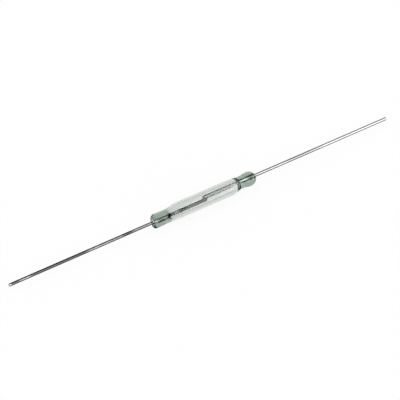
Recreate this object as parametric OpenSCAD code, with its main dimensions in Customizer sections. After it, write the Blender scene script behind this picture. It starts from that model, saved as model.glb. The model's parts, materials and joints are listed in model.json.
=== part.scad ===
// Glass reed switch, normally open: two nickel-iron reeds sealed into the ends of a glass tube.
// The switch lies along X, with its origin on the tube's axis, half way between the two lead tips.
// The blades stand on edge, so their flat faces look along Y and the contact closes along Y.
// All sizes are in millimetres.

/* [Glass tube] */
// Length of the glass over both sealed ends
glass_length = 20.8; // [18:0.1:26]
// Distance of the glass's middle from the middle of the switch, to the right
glass_x = 0.1; // [-0.5:0.05:0.5]
// Outside diameter of the tube
glass_d = 2.75; // [2.5:0.05:3.4]
// Wall thickness of the tube
wall = 0.25; // [0.2:0.01:0.5]
// Distance from each neck to the round bottom of the hollow behind it
neck_depth = 0.4; // [0.2:0.05:0.6]

/* [Left seal] */
// Length of the left seal, from its end to the hollow
left_seal = 3.2; // [2.6:0.05:4]
// Diameter of the flat face at the left end
left_face_d = 1.9; // [1.5:0.05:2.2]
// Diameter and depth of the scoop in that face, where the molten glass drew back from one side of the lead
left_scoop_d = 1.16; // [0.8:0.02:1.2]
left_scoop = 0.6; // [0.3:0.05:0.8]
// Diameter of the left bead
left_bead_d = 2.42; // [2.35:0.01:2.6]
// Distance from the left end to the widest part of its bead
left_crown = 0.5; // [0.4:0.05:1.3]
// Diameter of the left neck
left_neck_d = 2.31; // [2:0.01:2.35]
// Length over which the left neck widens into the tube
left_shoulder = 2.5; // [2:0.1:3]
// Length of the round bottom at the left end of the hollow
left_dome = 2.2; // [1.4:0.1:2.8]

/* [Right seal] */
// Length of the right seal, from its end to the hollow
right_seal = 3.05; // [2.6:0.05:4]
// Diameter of the flat ring at the right end, round the lead
right_face_d = 1.1; // [1:0.05:1.9]
// Diameter of the right bead
right_bead_d = 2.56; // [2.35:0.01:2.6]
// Distance from the right end to the widest part of its bead
right_crown = 1.2; // [0.4:0.05:1.3]
// Diameter of the right neck
right_neck_d = 2.2; // [2:0.01:2.35]
// Length over which the right neck widens into the tube
right_shoulder = 2; // [1.5:0.1:3]
// Length of the round bottom at the right end of the hollow
right_dome = 1.6; // [1.4:0.1:2.8]

/* [Reeds] */
// Length of the switch over both lead tips
overall_length = 76.4; // [40:0.1:90]
// Diameter of the lead over its plating
lead_d = 0.53; // [0.45:0.01:0.56]
// Thickness of the tin plating, which covers the lead outside the glass
plating = 0.006; // [0.003:0.001:0.01]
// Length over which the plating thins out to bare wire inside the seal
plating_fade = 0.8; // [0.6:0.1:1.2]
// Bevel on the cut tip of each lead
tip_bevel = 0.04; // [0.02:0.01:0.1]
// Length of round wire that stands clear of the hollow's bottom before it is pressed
stand_out = 0.05; // [0.05:0.05:0.4]
// Length over which the round wire is pressed flat
press_ramp = 0.95; // [0.8:0.05:1.6]
// Step at the edge of the pressing, all round the wire
press_step = 0.004; // [0.003:0.001:0.02]
// Length of the pressing's core that reaches back into the round wire
press_seat = 0.2; // [0.1:0.05:0.4]
// Thickness of the pressed blade
blade_t = 0.23; // [0.2:0.01:0.28]

/* [Contact] */
// Gap between the open blades
contact_gap = 0.25; // [0.08:0.01:0.3]
// Length over which the two blades overlap
contact_overlap = 0.62; // [0.4:0.02:1]
// Distance of the overlap's middle from the middle of the glass, to the right
contact_x = 0.33; // [-1:0.01:1]

/* [Hidden] */

// Points along each rounded stretch of the glass outline
arc_steps = 10;
// Corners of a blade's section, and stations along its pressed ramp
section_n = 24;
ramp_steps = 6;

glass_tint = [0.62, 0.72, 0.65, 0.45];
lead_grey = [0.68, 0.68, 0.67];
blade_grey = [0.58, 0.59, 0.58];

lead_r = lead_d / 2;
bare_r = lead_r - plating;
bore_r = glass_d / 2 - wall;
press_r = bare_r - press_step;
press_area = PI * press_r * press_r;

// Each reed's own axis stands off the tube's axis, so that the blades pass with the gap between them.
reed_y = (blade_t + contact_gap) / 2;

// Length over which a hollow's round bottom opens out past the far side of the wire
function bottom_depth(dome) = dome * (1 - sqrt(1 - pow((reed_y + bare_r) / bore_r, 2)));

// Lengths of round wire from each tip to the glass and to its pressing, and the planes where the blades begin
left_free = (overall_length - glass_length) / 2 + glass_x;
right_free = (overall_length - glass_length) / 2 - glass_x;
left_wire = left_free + left_seal + bottom_depth(left_dome) + stand_out;
right_wire = right_free + right_seal + bottom_depth(right_dome) + stand_out;
left_flex_x = -overall_length / 2 + left_wire + press_ramp;
right_flex_x = overall_length / 2 - right_wire - press_ramp;
left_blade_length = contact_x + contact_overlap / 2 - left_flex_x;
right_blade_length = right_flex_x - contact_x + contact_overlap / 2;

// Width of the wire once it is pressed to thickness t with the same area of metal
function pressed_w(t) = (press_area - PI * t * t / 4) / t + t;

// Outline of the pressed wire: flat faces at y = -t/2 and y = t/2, and round edges
function pressed_section(t) =
    let (edge_r = t / 2 / cos(180 / section_n), half_flat = (pressed_w(t) - t) / 2)
    [for (i = [0 : section_n - 1])
        let (a = (i + 0.5) * 360 / section_n)
        [edge_r * cos(a), edge_r * sin(a) + half_flat * sign(sin(a))]];

// Smooth rise from 0 to 1 with level ends
function ease(u) = (1 - cos(180 * u)) / 2;

// Points of a smooth step from p to q, without p itself
function smooth_step(p, q) =
    [for (i = [1 : arc_steps])
        let (u = i / arc_steps)
        [p.x + (q.x - p.x) * u, p.y + (q.y - p.y) * ease(u)]];

// Points of a quarter ellipse that leaves p square to the axis and reaches q level with it, without p itself
function quarter_round(p, q) =
    [for (i = [1 : arc_steps])
        let (a = 90 * i / arc_steps)
        [q.x + (p.x - q.x) * cos(a), p.y + (q.y - p.y) * sin(a)]];

// Outline of one glass end as [distance from the end, radius]: flat face, bead, neck and shoulder
function end_outline(seal, face_d, bead_d, crown, neck_d, shoulder) =
    let (
        face = [0, face_d / 2],
        bead = [crown, bead_d / 2],
        neck = [seal - neck_depth, neck_d / 2],
        tube = [seal - neck_depth + shoulder, glass_d / 2]
    )
    concat([[0, 0], face], quarter_round(face, bead), smooth_step(bead, neck), smooth_step(neck, tube));

// Outline of one end of the hollow: a round bottom that opens out under the shoulder
function hollow_outline(seal, dome) =
    concat([[seal, 0]], quarter_round([seal, 0], [seal + dome, bore_r]));

// Turned profile from the left and right outlines, as [radius, position along the tube]
function turned_profile(left, right) =
    concat(
        [for (p = left) [p.y, glass_x - glass_length / 2 + p.x]],
        [for (i = [len(right) - 1 : -1 : 0]) [right[i].y, glass_x + glass_length / 2 - right[i].x]]
    );

// Turns a profile about the X axis
module turned_along_x(profile) {
    rotate([0, 90, 0])
        rotate_extrude($fn = 96)
            polygon(profile);
}

// Places one reed: its tip faces -X for the left one, and the right one is turned half a turn
module left_side() {
    translate([-overall_length / 2, -reed_y, 0])
        children();
}

module right_side() {
    rotate([0, 0, 180])
        left_side()
            children();
}

// Round lead wire with a bevelled tip at x = 0, plated up to the glass and bare inside it
module wire(free, length) {
    turned_along_x([
        [0, 0],
        [lead_r - tip_bevel, 0],
        [lead_r, tip_bevel],
        [lead_r, free],
        [bare_r, free + plating_fade],
        [bare_r, length],
        [0, length]
    ]);
}

// Wire pressed from round at x = 0 to the blade's section at x = press_ramp, with its core seated in the wire
module ramp() {
    along = [for (j = [0 : ramp_steps]) [press_ramp * j / ramp_steps, j / ramp_steps]];
    rings = [for (s = concat([[-press_seat, 0]], along))
        let (t = 2 * press_r + (blade_t - 2 * press_r) * ease(s.y))
        [for (p = pressed_section(t)) [s.x, p.x, p.y]]];
    last = len(rings) - 1;
    sides = [for (j = [0 : last - 1], i = [0 : section_n - 1])
        let (here = j * section_n, next = (j + 1) * section_n, k = (i + 1) % section_n)
        each [[here + i, next + i, next + k], [here + i, next + k, here + k]]];
    start_cap = [for (i = [0 : section_n - 1]) i];
    end_cap = [for (i = [section_n - 1 : -1 : 0]) last * section_n + i];
    polyhedron([for (ring = rings) each ring], concat(sides, [start_cap, end_cap]));
}

// The part of a reed that doesn't move: the lead, its length in the seal and the pressed ramp
module lead(free, wire_length) {
    color(lead_grey) {
        wire(free, wire_length);
        translate([wire_length, 0, 0])
            ramp();
    }
}

// The flat springy part of a reed, from the ramp to its square-cut tip
module blade(wire_length, blade_length) {
    color(blade_grey)
        translate([wire_length + press_ramp, 0, 0])
            rotate([90, 0, 90])
                linear_extrude(blade_length)
                    polygon(pressed_section(blade_t));
}

// Slanting cone that starts inside the wire and opens out towards the left end, behind the wire
module scoop() {
    core_r = bare_r / 2;
    rise = left_scoop_d / 2 - core_r;
    translate([left_free, 0, 0])
        multmatrix([[1, 0, 0, 0], [-rise / left_scoop, 1, 0, rise], [0, 0, 1, 0]])
            rotate([0, 90, 0])
                cylinder(r1 = left_scoop_d / 2, r2 = core_r, h = left_scoop, $fn = 96);
}

// One piece of glass: a tube melted shut on both leads, with a sealed hollow
module glass_tube() {
    left_end = end_outline(left_seal, left_face_d, left_bead_d, left_crown, left_neck_d, left_shoulder);
    right_end = end_outline(right_seal, right_face_d, right_bead_d, right_crown, right_neck_d,
        right_shoulder);
    left_hollow = hollow_outline(left_seal, left_dome);
    right_hollow = hollow_outline(right_seal, right_dome);
    color(glass_tint)
        difference() {
            turned_along_x(turned_profile(left_end, right_end));
            turned_along_x(turned_profile(left_hollow, right_hollow));
            left_side() {
                wire(left_free, left_wire);
                scoop();
            }
            right_side()
                wire(right_free, right_wire);
        }
}

glass_tube();
left_side() lead(left_free, left_wire);  // left_lead
left_side() blade(left_wire, left_blade_length);  // left_blade
right_side() lead(right_free, right_wire);  // right_lead
right_side() blade(right_wire, right_blade_length);  // right_blade
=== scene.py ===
# %% [markdown]
# # A glass reed switch
# The object is a slim green glass tube with a wire lead out of each end. Inside, each wire is
# pressed flat into a springy blade, and the two blades overlap in the middle with a small gap.
# A magnet pulls them together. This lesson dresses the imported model: it measures that model,
# makes a smooth mesh for each piece, gives each one its finish, and sets up a white table.

import json
import math

import bpy
from mathutils import Matrix, Vector


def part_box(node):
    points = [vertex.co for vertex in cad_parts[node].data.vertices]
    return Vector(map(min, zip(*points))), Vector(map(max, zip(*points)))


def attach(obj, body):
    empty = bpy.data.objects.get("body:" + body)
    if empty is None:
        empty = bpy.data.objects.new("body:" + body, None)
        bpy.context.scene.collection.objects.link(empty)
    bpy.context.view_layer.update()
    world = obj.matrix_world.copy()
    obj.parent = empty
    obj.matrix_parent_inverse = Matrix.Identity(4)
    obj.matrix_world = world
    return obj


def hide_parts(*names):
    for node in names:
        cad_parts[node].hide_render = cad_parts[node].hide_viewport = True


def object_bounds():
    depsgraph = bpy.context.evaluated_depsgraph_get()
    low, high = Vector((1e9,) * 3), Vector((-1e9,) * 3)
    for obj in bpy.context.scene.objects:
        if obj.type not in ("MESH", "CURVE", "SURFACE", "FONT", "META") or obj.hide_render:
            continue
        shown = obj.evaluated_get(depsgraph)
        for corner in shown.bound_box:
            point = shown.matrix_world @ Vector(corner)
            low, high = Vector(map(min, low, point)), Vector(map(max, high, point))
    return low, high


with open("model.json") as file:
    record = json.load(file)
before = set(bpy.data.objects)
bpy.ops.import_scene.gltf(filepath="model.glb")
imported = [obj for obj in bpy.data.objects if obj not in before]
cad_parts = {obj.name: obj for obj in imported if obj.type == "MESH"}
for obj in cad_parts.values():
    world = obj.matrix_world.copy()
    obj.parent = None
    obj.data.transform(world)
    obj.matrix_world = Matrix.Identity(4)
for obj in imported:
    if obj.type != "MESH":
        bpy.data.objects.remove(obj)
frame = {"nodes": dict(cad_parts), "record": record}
model_low, model_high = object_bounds()
print("nodes:", ", ".join(sorted(frame["nodes"])))

# %% [markdown]
# ## Sizes
# Lengths here are in millimetres, because a reed switch is small, and they become metres where a mesh
# is made. What the model can tell is measured from its boxes and read from its record. The seals are
# listed, because a box can't tell how the glass runs between the tube and a lead. Each entry is a
# distance from that end of the glass, a radius or a length: the end face, the crown of the bead, the
# neck and its shoulder, the solid glass and the round bottom of the hollow behind it. Lean is the slope
# of the end face, and drift is how far the seal sank towards its lead while it was soft, as a share of
# the way.

# %% Measure the model
MM = 0.001
# Thickness of the tube's wall, and of the tin on the leads
wall = 0.25
plating = 0.006


def box_in_mm(node):
    low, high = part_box(node)
    return low / MM, high / MM


glass_low, glass_high = box_in_mm("glass_tube")
glass_r = glass_high.z
hollow_r = glass_r - wall

lead_pin = next(m for m in frame["record"]["mounts"] if m["name"] == "left_lead_pin")
lead_r = lead_pin["dims"]["r_mm"]
bare_r = lead_r - plating

print(f"glass {glass_high.x - glass_low.x:.2f} x {2 * glass_r:.2f} mm, lead {2 * lead_r:.2f} mm")

# %% The two sealed ends
seals = {
    "left": dict(
        side=-1, end=-glass_low.x,
        face_r=0.85, lean=0.17,
        crown=0.55, bead_r=1.21,
        neck=2.8, neck_r=1.155, shoulder=2.5,
        solid=2.85, dome=2.6, drift=0.55),
    "right": dict(
        side=1, end=glass_high.x,
        face_r=0.5, lean=0.0,
        crown=1.2, bead_r=1.24,
        neck=2.65, neck_r=1.05, shoulder=2.4,
        solid=3.05, dome=1.6, drift=0.6),
}
for name, seal in seals.items():
    lead_low, lead_high = box_in_mm(f"{name}_lead")
    blade_low, blade_high = box_in_mm(f"{name}_blade")
    on_left = seal["side"] < 0
    seal["lead_tip"] = lead_low.x if on_left else lead_high.x
    seal["bend"] = blade_low.x if on_left else blade_high.x
    seal["blade_tip"] = blade_high.x if on_left else blade_low.x
    seal["reed_y"] = (blade_low.y + blade_high.y) / 2
    seal["blade_t"] = blade_high.y - blade_low.y
    seal["blade_w"] = blade_high.z - blade_low.z
    print(f"{name} reed {seal['reed_y']:.3f} mm off the axis, blade tip at {seal['blade_tip']:.3f} mm")

# %% [markdown]
# ## A bench for nodes
# Node trees are easier to read as sums. A `Value` wraps one output socket, and an operator on it
# adds a Math node, so `1 - mask` works as it looks. Every other node comes from `Bench.node`, which
# sets the node's own settings first and then fills its sockets with numbers or links. Colours go
# through `Bench.mix`, because a Math node would turn them grey.

# %% Bench and Value


class Bench:
    """A node tree to work on."""

    def __init__(self, tree):
        self.tree = tree

    def node(self, kind, settings=None, sockets=None, output=0):
        """Adds one node and returns one of its outputs."""
        node = self.tree.nodes.new(kind)
        for setting, value in (settings or {}).items():
            if setting == "stops":
                self.set_stops(node.color_ramp, value)
            else:
                setattr(node, setting, value)
        for socket, value in (sockets or {}).items():
            if isinstance(value, Value):
                self.tree.links.new(value.socket, node.inputs[socket])
            else:
                node.inputs[socket].default_value = value
        return Value(self, node.outputs[output]) if node.outputs else node

    def set_stops(self, ramp, stops):
        while len(ramp.elements) < len(stops):
            ramp.elements.new(1.0)
        for element, (position, tone) in zip(ramp.elements, stops):
            element.position = position
            element.color = (*tone, 1.0)

    def mix(self, share, first, second, blend="MIX"):
        """Mixes two colours, which are inputs 6 and 7 and output 2 of a Mix node."""
        return self.node("ShaderNodeMix", {"data_type": "RGBA", "blend_type": blend}, {
            0: share, 6: first, 7: second}, output=2)


class Value:
    """One output socket that can stand in a sum."""

    def __init__(self, bench, socket):
        self.bench = bench
        self.socket = socket

    def output(self, name):
        """Another output of the same node."""
        return Value(self.bench, self.socket.node.outputs[name])

    def math(self, operation, *others, **settings):
        sockets = dict(enumerate((self, *others)))
        return self.bench.node("ShaderNodeMath", {"operation": operation, **settings}, sockets)

    def __add__(self, other):
        return self.math("ADD", other)

    def __sub__(self, other):
        return self.math("SUBTRACT", other)

    def __rsub__(self, other):
        return self.bench.node("ShaderNodeMath", {"operation": "SUBTRACT"}, {0: other, 1: self})

    def __mul__(self, other):
        return self.math("MULTIPLY", other)

    def __truediv__(self, other):
        return self.math("DIVIDE", other)

    __radd__ = __add__
    __rmul__ = __mul__


print("bench ready")

# %% [markdown]
# ## One tree for every shape
# The whole switch follows one rule: a section that changes as it travels along the X axis. Glass
# and wire have a round section, and a blade has two flat faces with rounded edges. Spinning a profile
# could make the glass, but not the flattened wire or the seals, whose bores stand off the axis.
# So one Geometry Nodes tree lofts them all. Its input is a row of stations: a point's X is its place,
# and its Y and Z are the section's thickness and width. Three attributes hold how far the section
# stands off the axis, how round its edges are and how much it leans. The tree wraps a flat grid round
# the stations, so that each row of the grid becomes one section.

# %% Build the loft tree
SHARP_ANGLE = math.radians(40)
SEAM_REACH = 1e-8


def section_point(bench, stations, rings, sides):
    """Where a point of the grid goes: its row picks a station, and its column is a turn round it."""
    place = bench.node("GeometryNodeInputPosition")
    on_grid = bench.node("ShaderNodeSeparateXYZ", None, {"Vector": place})
    ring = (on_grid + (rings - 1) / 2).math("ROUND")
    # The half step keeps every point off the axes, where the sign of a wave would be 0.
    turn = (on_grid.output("Y") + sides / 2 + 0.5) / sides * (-2 * math.pi)

    def at_station(value, data_type):
        return bench.node("GeometryNodeSampleIndex", {"data_type": data_type, "domain": "POINT"}, {
            "Geometry": stations, "Value": value, "Index": ring})

    def named(attribute):
        value = bench.node("GeometryNodeInputNamedAttribute", {"data_type": "FLOAT"}, {
            "Name": attribute})
        return at_station(value, "FLOAT")

    def bulged(wave):
        """A wave raised to the edge's power: 1 keeps the section round, and less makes it squarer."""
        return wave.math("SIGN") * wave.math("ABSOLUTE").math("POWER", named("edge"))

    along = bench.node("ShaderNodeSeparateXYZ", None, {"Vector": at_station(place, "FLOAT_VECTOR")})
    thickness = along.output("Y")
    half_flat = (along.output("Z") - thickness) / 2
    rise = turn.math("SINE")
    side = named("off_axis") + thickness / 2 * bulged(turn.math("COSINE"))
    return bench.node("ShaderNodeCombineXYZ", None, {
        "X": along + named("lean") * side,
        "Y": side,
        "Z": thickness / 2 * bulged(rise) + half_flat * rise.math("SIGN")})


def add_loft_tree():
    """Builds the tree, and returns it with the identifiers of its inputs for sides and finish."""
    tree = bpy.data.node_groups.new("section_loft", "GeometryNodeTree")
    tree.interface.new_socket("Stations", in_out="INPUT", socket_type="NodeSocketGeometry")
    sides_socket = tree.interface.new_socket("Sides", in_out="INPUT", socket_type="NodeSocketInt")
    finish_socket = tree.interface.new_socket("Finish", in_out="INPUT", socket_type="NodeSocketMaterial")
    tree.interface.new_socket("Loft", in_out="OUTPUT", socket_type="NodeSocketGeometry")

    bench = Bench(tree)
    stations = bench.node("NodeGroupInput", output="Stations")
    sides = stations.output("Sides")
    rings = bench.node("GeometryNodeAttributeDomainSize", {"component": "MESH"}, {"Geometry": stations})
    grid = bench.node("GeometryNodeMeshGrid", None, {
        "Size X": rings - 1, "Size Y": sides, "Vertices X": rings, "Vertices Y": sides + 1})

    point = section_point(bench, stations, rings, sides)
    skin = bench.node("GeometryNodeSetPosition", None, {"Geometry": grid, "Position": point})
    skin = bench.node("GeometryNodeMergeByDistance", None, {"Geometry": skin, "Distance": SEAM_REACH})
    skin = bench.node("GeometryNodeSetShadeSmooth", {"domain": "FACE"}, {
        "Geometry": skin, "Shade Smooth": True})
    fold = bench.node("GeometryNodeInputMeshEdgeAngle")
    skin = bench.node("GeometryNodeSetShadeSmooth", {"domain": "EDGE"}, {
        "Geometry": skin, "Selection": fold.math("GREATER_THAN", SHARP_ANGLE), "Shade Smooth": False})
    skin = bench.node("GeometryNodeRealizeInstances", None, {"Geometry": skin})
    skin = bench.node("GeometryNodeSetMaterial", None, {
        "Geometry": skin, "Material": stations.output("Finish")})
    bench.node("NodeGroupOutput", None, {"Loft": skin})
    return tree, sides_socket.identifier, finish_socket.identifier


loft_tree, SIDES, FINISH = add_loft_tree()
print("loft tree with", len(loft_tree.nodes), "nodes")

# %% [markdown]
# A station list becomes a mesh in four moves: its points are put in a mesh, the tree is added as a
# modifier, the result is read back as a plain mesh, and the modifier goes. What is left is an
# ordinary object at the origin, which can be posed and exported like any other.

# %% Loft a list of stations


def loft(name, stations, sides, finish):
    """Makes an object from (x, thickness, width, off_axis, edge, lean) stations in millimetres."""
    mesh = bpy.data.meshes.new(name)
    mesh.from_pydata([Vector(station[:3]) * MM for station in stations], [], [])
    for attribute, column, unit in (("off_axis", 3, MM), ("edge", 4, 1.0), ("lean", 5, 1.0)):
        values = mesh.attributes.new(attribute, "FLOAT", "POINT").data
        values.foreach_set("value", [station[column] * unit for station in stations])
    piece = bpy.data.objects.new(name, mesh)
    bpy.context.collection.objects.link(piece)

    modifier = piece.modifiers.new("loft", "NODES")
    modifier.node_group = loft_tree
    modifier[SIDES] = sides
    modifier[FINISH] = finish
    evaluated = piece.evaluated_get(bpy.context.evaluated_depsgraph_get())
    piece.data = bpy.data.meshes.new_from_object(evaluated)
    piece.modifiers.remove(modifier)
    print(name, len(piece.data.polygons), "faces")
    return piece


# %% [markdown]
# ## Outlines
# Molten glass and pressed wire have no corners. Their outlines could be long lists of points, but two
# curves are enough: a smooth step that starts and ends level, and a quarter ellipse that rounds a
# corner. Both walk from one (along, radius) point to another, with a share of the way for each.

# %% Smooth steps and quarter rounds


def ease(share):
    """Rises from 0 to 1 with level ends, and stays level past them."""
    held = min(1.0, max(0.0, share))
    return (1 - math.cos(math.pi * held)) / 2


def shares(count):
    """Even steps up to 1, without 0."""
    return [i / count for i in range(1, count + 1)]


def quarter_turns(count):
    """Even angles up to a right angle, without 0."""
    return [math.pi / 2 * share for share in shares(count)]


def part_way(start, end, along, out):
    """A point between two (along, radius) points, with its own share of each."""
    return start[0] + (end[0] - start[0]) * along, start[1] + (end[1] - start[1]) * out


def smooth_step(start, end, count):
    """Points of a smooth step, without the first."""
    return [part_way(start, end, share, ease(share)) for share in shares(count)]


def quarter_round(start, end, count):
    """Points of a quarter ellipse that leaves the start square to the axis, without the first."""
    return [part_way(start, end, 1 - math.cos(a), math.sin(a)) for a in quarter_turns(count)]


print("half way up a smooth step:", round(ease(0.5), 2))

# %% [markdown]
# ## The glass finish
# Reed switch glass holds iron, which soaks up heat when the ends are melted, and which makes it
# green. A green Base Color would tint a thin wall as much as a solid end. On the real tube the thin
# wall is nearly clear and the solid ends are darker, so the surface stays clear here and a Volume
# Absorption node tints by depth. Drawn tube has faint lengthwise lines, and the finish gets them from
# a noise that is stretched along X.

# %% Make the glass finish
GLASS_SURFACE = (0.94, 0.945, 0.94, 1.0)
GLASS_DEPTH = (0.174, 0.34, 0.224, 1.0)
GLASS_DENSITY = 525.0
GLASS_IOR = 1.5
DRAWN_GRAIN = (6.0, 0.12, 0.12)
DRAWN_STRENGTH = 0.05
HAZE_GRAIN = (1.2, 0.6, 0.6)
HAZE_ROUGHNESS = 0.02
line_depth = 0.002


def new_finish(name):
    finish = bpy.data.materials.new(name)
    finish.use_nodes = True
    finish.node_tree.nodes.clear()
    return finish, Bench(finish.node_tree)


def stretched_noise(bench, grain, detail=3.0):
    """A noise of about grain (x, y, z) millimetres."""
    place = bench.node("ShaderNodeTexCoord", output="Object")
    scale = [1 / (size * MM) for size in grain]
    stretched = bench.node("ShaderNodeMapping", None, {"Vector": place, "Scale": scale})
    return bench.node("ShaderNodeTexNoise", None, {"Vector": stretched, "Scale": 1.0, "Detail": detail})


def fine_lines(bench, height, strength):
    """A normal with lines that are too fine to model."""
    return bench.node("ShaderNodeBump", None, {
        "Strength": strength, "Distance": line_depth * MM, "Height": height})


def glass_finish():
    finish, bench = new_finish("pale_green_glass")
    drawn = stretched_noise(bench, DRAWN_GRAIN)
    haze = stretched_noise(bench, HAZE_GRAIN, detail=5.0)
    surface = bench.node("ShaderNodeBsdfPrincipled", None, {
        "Base Color": GLASS_SURFACE,
        "Roughness": haze * HAZE_ROUGHNESS,
        "IOR": GLASS_IOR,
        "Transmission Weight": 1.0,
        "Normal": fine_lines(bench, drawn, DRAWN_STRENGTH)})
    depth = bench.node("ShaderNodeVolumeAbsorption", None, {
        "Color": GLASS_DEPTH, "Density": GLASS_DENSITY})
    bench.node("ShaderNodeOutputMaterial", None, {"Surface": surface, "Volume": depth})
    return finish


green_glass = glass_finish()
print("finish:", green_glass.name)

# %% [markdown]
# ## The glass tube
# The tube is one closed skin. It starts in the left end, runs along the outside over bead, neck and
# tube to the right lead, goes in along that lead, and comes back along the hollow and the left lead
# to where it started. At the left end the molten glass drew back from one side of the lead, which left
# a scoop and a slanting face. Everywhere else it wet the wire, so a small fillet climbs along it. A
# Boolean could cut the bores, but it would leave sharp rims. The leads stand off the tube's axis, one
# to each side, so the rings slide over to the lead as they shrink towards it.

# %% Draw the glass's outlines
outer_fillet = 0.09
inner_fillet = 0.3
# The glass reaches a little way into the wire, so that no film of air shows between them.
grip = 0.004
wetted_r = bare_r - grip

NOSE_STEPS = 24
NECK_STEPS = 10
SHOULDER_STEPS = 14
DOME_STEPS = 24
FILLET_STEPS = 6


def climb_off_the_lead(points, fillet, direction):
    """Starts a row of (along, radius) points with a fillet that climbs off the lead."""
    kept = [point for point in points if point[1] > wetted_r + fillet]
    top = (kept[0][0], wetted_r + fillet)
    foot = (top[0] + direction * fillet, wetted_r)
    climb = [part_way(foot, top, math.sin(a), 1 - math.cos(a)) for a in quarter_turns(FILLET_STEPS)]
    return [foot] + climb + kept


def outside_of(seal):
    """Outside of one end, from its face to the tube, as (distance from the end, radius)."""
    face = (0.0, seal["face_r"])
    bead = (seal["crown"], seal["bead_r"])
    neck = (seal["neck"], seal["neck_r"])
    tube = (neck[0] + seal["shoulder"], glass_r)
    nose = [face] + quarter_round(face, bead, NOSE_STEPS)
    return nose + smooth_step(bead, neck, NECK_STEPS) + smooth_step(neck, tube, SHOULDER_STEPS)


def hollow_of(seal):
    """Round bottom of the hollow at one end, from its lead to the wall."""
    bottom = (seal["solid"], 0.0)
    bore = (seal["solid"] + seal["dome"], hollow_r)
    return climb_off_the_lead(quarter_round(bottom, bore, DOME_STEPS), inner_fillet, 1)


left, right = seals["left"], seals["right"]
left_outside = outside_of(left)
right_outside = climb_off_the_lead(outside_of(right), outer_fillet, -1)
print("outline points:", len(left_outside), "at the left,", len(right_outside), "at the right")

# %% Slide the rings to the leads and loft the glass
TUBE_SIDES = 128
ROUND = 1.0
SCOOP_STEPS = 12
# A ring slides to the lead once it is narrower than this share of the tube.
FREE_SHARE = 0.8
scoop_depth = 0.4
scoop_r = 0.59
# Depth of the scoop's rim below the face, and the length over which a slanted end straightens up
lip = 0.03
lean_reach = 1.5


def ring_at(seal, distance, radius, slide):
    """One round station, which leans near a slanted end so that the far side lies further in."""
    lean = seal["lean"] * (1 - ease(distance / lean_reach))
    near_side = seal["drift"] * seal["reed_y"] - seal["face_r"]
    along = seal["side"] * (seal["end"] - distance) - lean * near_side
    return along, 2 * radius, 2 * radius, slide, ROUND, lean


def glass_stations(points, seal):
    """Places one end's points in the switch, with each ring slid towards the lead as it shrinks."""
    free_r = FREE_SHARE * points[-1][1]
    rows = []
    for distance, radius in points:
        sunk = seal["drift"] * (1 - ease((distance - seal["neck"]) / seal["shoulder"]))
        drawn_in = 1 - ease((radius - wetted_r) / (free_r - wetted_r))
        slide = seal["reed_y"] * max(sunk, drawn_in)
        rows.append(ring_at(seal, distance, radius, slide))
    return rows


def scoop_stations(seal):
    """A scoop in the end face, behind the lead: rings that all touch the front of the lead."""
    bottom = (wetted_r, scoop_depth)
    rim = (scoop_r, lip)
    rows = []
    for radius, depth in [bottom] + smooth_step(bottom, rim, SCOOP_STEPS):
        slide = seal["reed_y"] + radius - wetted_r
        rows.append(ring_at(seal, depth, radius, slide))
    return rows


skin = (scoop_stations(left)
        + glass_stations(left_outside, left)
        + glass_stations(right_outside, right)[::-1]
        + glass_stations(hollow_of(right), right)
        + glass_stations(hollow_of(left), left)[::-1])
glass_tube = loft("glass_envelope", skin + skin[:1], TUBE_SIDES, green_glass)

# %% [markdown]
# ## The wire finish
# The leads are tinned nickel-iron wire, and new tin is bright. Drawing leaves fine lines along the
# wire. Metal looks flat when its colour is one number. A painted picture could vary it, but would need
# a UV map, so the tone follows a ramp along the lead and a noise that is stretched along it. The ramp
# is painted reflection: its dark and dim stretches, which the left lead has most of, paint where the
# wire mirrors dark surroundings, and its brightest stops inside the seals are painted highlights. Where
# the tone is nearly black, at the left ramp, it is painted shade, which is not a metal. The edge tint
# makes the metal reflect less at a glancing angle.

# %% Tones along a piece
WARM_BLUE = 0.985


def neutral(level):
    """A grey for a colour socket."""
    return level, level, level, 1.0


def grey(level):
    """A grey for a ramp's stop, with a little less blue."""
    return level, level, level * WARM_BLUE


def place_on_piece(bench, axis):
    place = bench.node("ShaderNodeTexCoord", output="Object")
    return bench.node("ShaderNodeSeparateXYZ", None, {"Vector": place}, output=axis)


def tone_along(bench, start, stops):
    """A grey that follows X: stops are (millimetres from start, tone)."""
    distance = (place_on_piece(bench, "X") - start * MM).math("ABSOLUTE")
    reach = stops[-1][0]
    return bench.node("ShaderNodeValToRGB", {
        "stops": [(at / reach, tone) for at, tone in stops]}, {"Fac": distance / (reach * MM)})


# Tones for the painted reflections along the wire, and black for the painted shade at the left ramp
bright, dim_reflection, dark, shade_black = grey(0.56), grey(0.3), grey(0.12), grey(0.003)
print("wire tones:", [tone[0] for tone in (bright, dim_reflection, dark, shade_black)])

# %% Make the wire finishes
EDGE_TINT = (0.34, 0.35, 0.35, 1.0)
WORN_SHADE = neutral(0.72)
# Tones below this limit are the black painted shade at the left ramp, which is not a metal
PAINTED_SHADE_LIMIT = 0.02
WIRE_GRAIN = (5.0, 0.03, 0.03)
SMUDGE_GRAIN = (1.6, 0.5, 0.5)
SMUDGE_ROUGHNESS = 0.16
SMUDGE_WEAR = 0.5
STREAK_WEAR = 0.7
STREAK_STRENGTH = 0.25


def metal_finish(name, tone, streak_grain, roughness):
    """Drawn or pressed metal: tone is called with the bench and returns the colour along the piece."""
    finish, bench = new_finish(name)
    streaks = stretched_noise(bench, streak_grain)
    smudge = stretched_noise(bench, SMUDGE_GRAIN, detail=4.0)
    metal = tone(bench)
    wear = streaks * STREAK_WEAR + smudge * SMUDGE_WEAR
    surface = bench.node("ShaderNodeBsdfPrincipled", None, {
        "Base Color": bench.mix(wear, metal, WORN_SHADE, "MULTIPLY"),
        "Metallic": metal.math("GREATER_THAN", PAINTED_SHADE_LIMIT),
        "Roughness": roughness + smudge * SMUDGE_ROUGHNESS,
        "Specular Tint": EDGE_TINT,
        "Normal": fine_lines(bench, streaks, STREAK_STRENGTH)})
    bench.node("ShaderNodeOutputMaterial", None, {"Surface": surface})
    return finish


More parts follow.
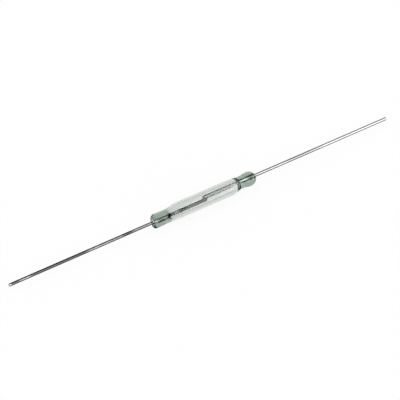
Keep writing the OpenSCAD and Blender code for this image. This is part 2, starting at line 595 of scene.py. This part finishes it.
def left_lead_reflection_tone(bench):
    return tone_along(bench, left["lead_tip"], [
        # The fresh cut, and the long dark stretch of painted reflection
        (0.0, bright), (0.25, bright), (0.3, dark), (1.6, dark), (2.2, dim_reflection), (3.6, dim_reflection),
        (4.4, dark), (14.6, dark),
        # Lighter and darker stretches of painted reflection up to the glass
        (15.8, grey(0.42)), (21.6, grey(0.42)), (22.2, grey(0.2)), (23.6, grey(0.2)),
        (24.4, bright), (27.7, grey(0.62)),
        # Inside the seal, a painted highlight, and the ramp painted black as shade
        (28.0, grey(0.95)), (28.8, grey(0.95)), (29.1, grey(0.6)), (30.6, grey(0.6)),
        (30.8, shade_black), (32.0, shade_black), (32.2, dim_reflection)])


def right_lead_reflection_tone(bench):
    return tone_along(bench, right["lead_tip"], [
        # Stretches of painted reflection outside the glass
        (0.0, grey(0.6)), (13.0, grey(0.6)), (15.5, grey(0.44)), (20.0, grey(0.44)),
        (22.5, bright), (27.7, bright),
        # Inside the seal, a dark band and then a painted highlight
        (27.9, dim_reflection), (28.4, grey(0.34)), (29.4, grey(0.98)), (32.4, grey(0.98))])


wire_finishes = {
    "left": metal_finish("tinned_wire_dulled", left_lead_reflection_tone, WIRE_GRAIN, roughness=0.14),
    "right": metal_finish("tinned_wire_bright", right_lead_reflection_tone, WIRE_GRAIN, roughness=0.16),
}
print("wire finishes:", ", ".join(finish.name for finish in wire_finishes.values()))

# %% [markdown]
# ## The leads
# Each lead is one wire: a cut tip with a small bevel, the plated length outside the glass, the bare
# length inside the seal, and a ramp where a press flattens it. A curve with a round bevel could make
# the wire but not the ramp, so the same tree lofts it. Pressing keeps the metal, so the width of each
# section comes from its thickness and the wire's area.

# %% Loft the leads
WIRE_SIDES = 64
RAMP_STEPS = 16
SQUARE = 0.45
UPRIGHT = 0.0
tip_bevel = 0.04
# Length in the seal over which the tin thins out, and of round wire that stands clear in the hollow
plating_fade = 0.8
stand_out = 0.05
# Step all round the wire where the pressing starts
press_step = 0.004
press_r = bare_r - press_step
press_area = math.pi * press_r ** 2


def pressed_width(thickness):
    """Width of the wire when it is pressed to a thickness with the same area of metal."""
    return (press_area - math.pi * thickness ** 2 / 4) / thickness + thickness


def reed_stations(seal, start, sections):
    """Places (distance from start, thickness, width, edge) sections on one reed, from left to right."""
    inward = -seal["side"]
    rows = [(start + inward * along, thickness, width, seal["reed_y"], edge, UPRIGHT)
            for along, thickness, width, edge in sections]
    return rows if inward > 0 else rows[::-1]


def lead_stations(seal):
    """Stations of one lead, which is round from its cut tip to the hollow and then pressed flat."""
    free = abs(seal["lead_tip"]) - seal["end"]
    far_side = abs(seal["reed_y"]) + bare_r
    bottom_depth = seal["dome"] * (1 - math.sqrt(1 - (far_side / hollow_r) ** 2))
    ramp_start = free + seal["solid"] + bottom_depth + stand_out
    ramp = abs(seal["lead_tip"] - seal["bend"]) - ramp_start
    round_part = [(0.0, 0.0), (0.0, lead_r - tip_bevel), (tip_bevel, lead_r), (free, lead_r),
                  (free + plating_fade, bare_r), (ramp_start, bare_r), (ramp_start, press_r)]
    sections = [(along, 2 * radius, 2 * radius, ROUND) for along, radius in round_part]
    for share in shares(RAMP_STEPS):
        thickness = 2 * press_r + (seal["blade_t"] - 2 * press_r) * ease(share)
        edge = ROUND + (SQUARE - ROUND) * ease(share)
        sections.append((ramp_start + ramp * share, thickness, pressed_width(thickness), edge))
    end, thickness, width, edge = sections[-1]
    sections.append((end, 0.0, width - thickness, edge))
    return reed_stations(seal, seal["lead_tip"], sections)


leads = {name: loft(f"{name}_lead_wire", lead_stations(seal), WIRE_SIDES, wire_finishes[name])
         for name, seal in seals.items()}

# %% [markdown]
# ## The blades
# The flat blades are satin pressed metal with square-cut tips, and a fine bevel at the tip catches a
# line of light. The left one is darker, a painted reflection like the dark stretches of its lead. Dark
# lines along the long edges are painted shade. Each edge could be a piece of its own with its own
# finish, but a darker band by height is simpler: both blades have it at the upper edge, and the right
# one also below. A blade reaches a little way into its ramp, so that no slit opens between them when
# it bends.

# %% Make the blade finishes
STRIP_GRAIN = (3.0, 0.6, 0.025)
STRIP_ROUGHNESS = 0.3
# Painted shade: darker bands by height along the long edges of a blade
TOP_PAINTED_SHADE = dict(height_from=0.36, height_to=0.42, shade=neutral(0.75))
LOW_PAINTED_SHADE = dict(height_from=-0.12, height_to=-0.26, shade=neutral(0.4))


def shaded(bench, tone, height_from, height_to, shade):
    """The tone, darkened as painted shade where Z goes from one height to the other, in millimetres."""
    share = bench.node("ShaderNodeMapRange", None, {
        "Value": place_on_piece(bench, "Z"), "From Min": height_from * MM, "From Max": height_to * MM})
    return bench.mix(share, tone, shade, "MULTIPLY")


def left_blade_painted_tone(bench):
    # A lower tone than the right blade's, which paints a darker reflection, with painted shade at the
    # top edge
    tone = tone_along(bench, left["bend"], [
        (0.0, grey(0.33)), (0.6, grey(0.34)), (2.4, grey(0.41)), (4.0, grey(0.38)), (6.6, grey(0.39))])
    return shaded(bench, tone, **TOP_PAINTED_SHADE)


def right_blade_painted_tone(bench):
    # A high tone that paints a bright reflection, with painted shade at both long edges
    tone = tone_along(bench, right["bend"], [
        (0.0, grey(0.85)), (1.2, grey(0.82)), (4.0, grey(0.76)), (6.6, grey(0.72))])
    return shaded(bench, shaded(bench, tone, **LOW_PAINTED_SHADE), **TOP_PAINTED_SHADE)


blade_finishes = {
    "left": metal_finish("pressed_strip_dark", left_blade_painted_tone, STRIP_GRAIN, STRIP_ROUGHNESS),
    "right": metal_finish("pressed_strip_light", right_blade_painted_tone, STRIP_GRAIN, STRIP_ROUGHNESS),
}
print("blade finishes:", ", ".join(finish.name for finish in blade_finishes.values()))

# %% Loft the blades
# Bevel at the tip, and length of the root that reaches into the ramp
tip_edge = 0.02
root_overlap = 0.03


def blade_stations(seal):
    """Stations of one blade, from its root in the ramp to its bevelled tip."""
    thickness, width = seal["blade_t"], seal["blade_w"]
    length = abs(seal["blade_tip"] - seal["bend"])
    sections = [
        (-root_overlap, 0.0, width - thickness, SQUARE),
        (-root_overlap, thickness - tip_edge, width - tip_edge, SQUARE),
        (0.0, thickness - tip_edge, width - tip_edge, SQUARE),
        (0.0, thickness, width, SQUARE),
        (length - tip_edge, thickness, width, SQUARE),
        (length, thickness - 2 * tip_edge, width - 2 * tip_edge, SQUARE),
        (length, 0.0, width - thickness, SQUARE),
    ]
    return reed_stations(seal, seal["bend"], sections)


blades = {name: loft(f"{name}_reed_blade", blade_stations(seal), WIRE_SIDES, blade_finishes[name])
          for name, seal in seals.items()}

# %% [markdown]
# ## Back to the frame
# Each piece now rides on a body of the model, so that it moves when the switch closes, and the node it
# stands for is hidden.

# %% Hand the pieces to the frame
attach(glass_tube, "envelope")
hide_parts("glass_tube")
for name in seals:
    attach(leads[name], "envelope")
    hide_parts(f"{name}_lead")
    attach(blades[name], f"{name}_reed")
    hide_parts(f"{name}_blade")
print("pieces:", 1 + len(leads) + len(blades))

# %% [markdown]
# ## A white table
# The switch lies on a white table in a white room. The room is plain white light. A matt table alone
# would look grey, so camera, mirror and glass rays see it glow white, and a little of the matt white
# that is mixed in keeps a soft shadow.

# %% Floor and room
WHITE = neutral(1.0)
FLOOR_GLOW = 0.92
floor_half = 600
floor_z = model_low.z / MM


def mottled(bench, grain, low, high):
    """A grey that wanders between two levels, with spots of about grain millimetres."""
    return bench.mix(stretched_noise(bench, (grain, grain, grain)), neutral(low), neutral(high))


def white_rays(bench):
    """1 for rays that show the background: straight to the camera, off metal or through glass."""
    path = bench.node("ShaderNodeLightPath", output="Is Camera Ray")
    seen = path + path.output("Is Glossy Ray")
    return seen.math("ADD", path.output("Is Transmission Ray"), use_clamp=True)


def floor_finish():
    finish, bench = new_finish("white_table")
    matt = bench.node("ShaderNodeBsdfDiffuse", None, {"Color": mottled(bench, 9.0, 0.9, 0.93)})
    glow = bench.node("ShaderNodeEmission", None, {"Color": WHITE, "Strength": 1.0})
    share = white_rays(bench) * FLOOR_GLOW
    mixed = bench.node("ShaderNodeMixShader", None, {0: share, 1: matt, 2: glow})
    bench.node("ShaderNodeOutputMaterial", None, {"Surface": mixed})
    return finish


def add_sheet(name, finish, start, stop, near, far):
    """A flat sheet from start to stop along X, between two edges at (y, z), in millimetres."""
    corners = [(start, *near), (stop, *near), (stop, *far), (start, *far)]
    mesh = bpy.data.meshes.new(name)
    mesh.from_pydata([Vector(corner) * MM for corner in corners], [], [(0, 1, 2, 3)])
    mesh.materials.append(finish)
    sheet = bpy.data.objects.new(name, mesh)
    bpy.context.collection.objects.link(sheet)
    return sheet


floor = add_sheet("table_top", floor_finish(), -floor_half, floor_half,
                  near=(-floor_half, floor_z), far=(floor_half, floor_z))

world = bpy.data.worlds.new("white_room")
world.use_nodes = True
world.node_tree.nodes.clear()
bpy.context.scene.world = world
room = Bench(world.node_tree)
light = room.node("ShaderNodeBackground", None, {"Color": WHITE, "Strength": 1.0})
room.node("ShaderNodeOutputWorld", None, {"Surface": light})
print("table at z =", round(floor_z, 3), "mm")

# %% [markdown]
# ## The lamp
# One large soft lamp above gives the wire and the glass a direction to shine in. Its power follows
# from its size, so that a larger lamp is softer and not brighter to look at.

# %% Lamp


def add_softbox(name, place, size, radiance):
    """A square lamp that looks at the switch, with its place and size in metres."""
    lamp = bpy.data.lights.new(name, "AREA")
    lamp.shape = "SQUARE"
    lamp.size = size
    lamp.energy = radiance * math.pi * size ** 2
    softbox = bpy.data.objects.new(name, lamp)
    softbox.location = place
    softbox.rotation_euler = (-Vector(place)).to_track_quat("-Z", "Y").to_euler()
    bpy.context.collection.objects.link(softbox)
    print(name, f"{lamp.energy:.2f} W")


add_softbox("key_softbox", place=(0.12, 0.25, 0.42), size=0.16, radiance=1.6)

# %% [markdown]
# ## Black cards
# Bright metal in a white room has no edges. Product photographers put black cards round it, and the
# wire then mirrors dark lines next to its bright middle. A row of cards lies in front, one for each
# part of the switch. Others stand behind it and hang above it, and two narrow ones stand where the
# seals mirror them. Bright panels slope up from the front and give the wire its streak of light. The
# one that the tube mirrors is shorter, so that its glass stays even, and a black card beside it keeps
# the ramp dark, on top of the painted shade there. All of them are hidden from the camera and cast no
# shadow, so only mirror and glass rays find them.

# %% Card and panel finishes
PANEL_GLOW = 2.5


def card_finish():
    finish, bench = new_finish("black_card")
    matt = bench.node("ShaderNodeBsdfDiffuse", None, {"Color": mottled(bench, 0.8, 0.01, 0.03)})
    bench.node("ShaderNodeOutputMaterial", None, {"Surface": matt})
    return finish


def panel_finish():
    finish, bench = new_finish("bright_panel")
    cloth = mottled(bench, 20.0, 0.97, 1.0)
    glow = bench.node("ShaderNodeEmission", None, {"Color": cloth, "Strength": PANEL_GLOW})
    bench.node("ShaderNodeOutputMaterial", None, {"Surface": glow})
    return finish


black_card = card_finish()
bright_panel = panel_finish()
print("finishes:", black_card.name, "and", bright_panel.name)

# %% Cards and panels
far_left, far_right = -80, 180
card_z = floor_z + 0.02
front_reach = 120
front_cards = [
    # name, start, stop, and the edge next to the switch
    ("left_lead_card", far_left, -10.4, -0.3),
    ("left_seal_card", -10.4, -7.6, -0.65),
    ("tube_card", -7.6, 8, -3.5),
    ("right_seal_card", 8, 11.6, -0.65),
    ("right_lead_card", 11.6, far_right, -0.3),
]
cards = [(name, black_card, start, stop, (edge, card_z), (edge - front_reach, card_z))
         for name, start, stop, edge in front_cards]

back, front, top = 60, -10, 120
split_x = 54
ramp_card_x, tube_panel_x, right_panel_x = 26, 39.5, 53.5
panel_top, panel_foot, tube_panel_foot = (front, top), (-125, 0), (-38.75, 90)
left_stand, right_stand = (-0.3, 4.1), (17.4, 21.8)
stand_foot, stand_top = (-20, -1.3), (-20, 12)
cards += [
    # name, finish, start, stop, and the (y, z) of both edges
    ("left_back_card", black_card, far_left, split_x, (back, 12), (back, top)),
    ("left_top_card", black_card, far_left, split_x, (back, top), (front, top)),
    ("right_back_card", black_card, split_x, far_right, (back, 30), (back, top)),
    ("right_top_card", black_card, split_x, far_right, (back, top), (30, top)),
    ("left_standing_card", black_card, *left_stand, stand_foot, stand_top),
    ("right_standing_card", black_card, *right_stand, stand_foot, stand_top),
    ("ramp_card", black_card, ramp_card_x, tube_panel_x, panel_top, panel_foot),
    ("left_panel", bright_panel, far_left, ramp_card_x, panel_top, panel_foot),
    ("tube_panel", bright_panel, tube_panel_x, right_panel_x, panel_top, tube_panel_foot),
    ("right_panel", bright_panel, right_panel_x, far_right, panel_top, panel_foot),
]
for row in cards:
    card = add_sheet(*row)
    card.visible_camera = False
    card.visible_diffuse = False
    card.visible_shadow = False
print("cards and panels:", len(cards))

# %% [markdown]
# ## The camera
# The photograph looks down on the switch from the front left through a long lens, and the switch
# slants up to the right in the picture. A tracking constraint could aim the camera, but it keeps the
# camera level, and the slant is a roll. So its direction, roll and distance are named here, and its
# matrix follows from them.

# %% Camera
IMAGE_PIXELS = 400
SENSOR = 36.0
camera_distance = 0.6
pixels_per_mm = 6.03
# How far the view swings to the left, its height above the table in front, and its roll
swing = math.radians(26.5)
tilt = math.radians(60)
slant = math.radians(23.52)
# Where the camera aims, in pixels to the right of the origin and below it
aim_pixels = (-2.8, 0.55)

level = math.cos(swing)
towards = Vector((-math.sin(swing), -level * math.cos(tilt), level * math.sin(tilt)))
along = (Vector((1, 0, 0)) - towards * towards.x).normalized()
above = towards.cross(along)
right_way = along * math.cos(slant) - above * math.sin(slant)
up_way = along * math.sin(slant) + above * math.cos(slant)

camera_data = bpy.data.cameras.new("photo_camera")
camera_data.sensor_width = SENSOR
camera_data.lens = pixels_per_mm / MM * camera_distance * SENSOR / IMAGE_PIXELS
camera = bpy.data.objects.new("photo_camera", camera_data)
aim = (right_way * aim_pixels[0] - up_way * aim_pixels[1]) / pixels_per_mm * MM
turn = Matrix((right_way, up_way, towards)).transposed()
camera.matrix_world = Matrix.Translation(aim + towards * camera_distance) @ turn.to_4x4()
bpy.context.collection.objects.link(camera)
bpy.context.scene.camera = camera
bpy.context.scene.view_settings.view_transform = "Standard"
print(f"lens {camera_data.lens:.0f} mm")
